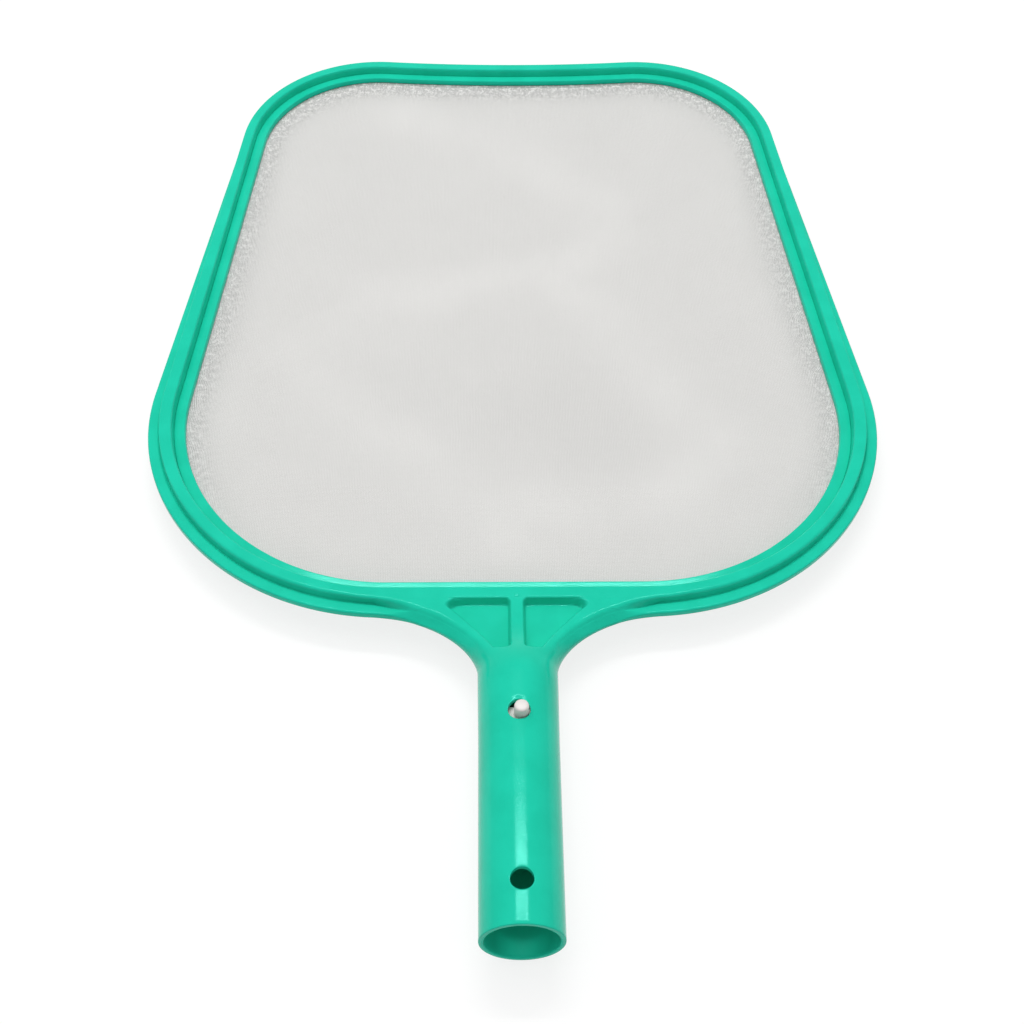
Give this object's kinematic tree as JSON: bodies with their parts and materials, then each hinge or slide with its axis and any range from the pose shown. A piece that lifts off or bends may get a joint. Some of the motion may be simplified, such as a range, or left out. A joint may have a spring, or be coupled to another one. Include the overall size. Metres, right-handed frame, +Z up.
{
  "type": "leaf skimmer net",
  "caption": "Flat pool skimmer: a moulded rim that stretches a woven net, a webbed neck and a round pole socket with a sprung snap clip.",
  "frame": {"origin": "centre of the pole socket's open mouth, on the socket's axis", "axes": "+Y along the socket towards the rim's leading edge, +Z up out of the side that gathers the leaves, +X to the right"},
  "size_m": [0.299, 0.4624, 0.0354],
  "materials": {
    "frame_plastic": "satin moulded polypropylene, sea green",
    "net_fabric": "fine woven mesh, off-white",
    "clip_plastic": "satin moulded acetal, white"
  },
  "bodies": {
    "frame": {"frame_rim": "frame_plastic", "neck_gusset": "frame_plastic", "pole_socket": "frame_plastic", "net_ring": "frame_plastic", "net": "net_fabric", "clip_bow": "clip_plastic"},
    "upper_arm": {"clip_upper_arm": "clip_plastic"},
    "lower_arm": {"clip_lower_arm": "clip_plastic"}
  },
  "joints": [
    {"name": "upper_button_press", "type": "hinge", "parent": "frame", "child": "upper_arm", "pos_m": [0, 0.05065, 0.00575], "axis": [-1, 0, 0], "range_deg": [0, 6.5], "stiffness_Nm_per_rad": 3},
    {"name": "lower_button_press", "type": "hinge", "parent": "frame", "child": "lower_arm", "pos_m": [0, 0.05065, -0.00575], "axis": [1, 0, 0], "range_deg": [0, 6.5], "stiffness_Nm_per_rad": 3}
  ]
}
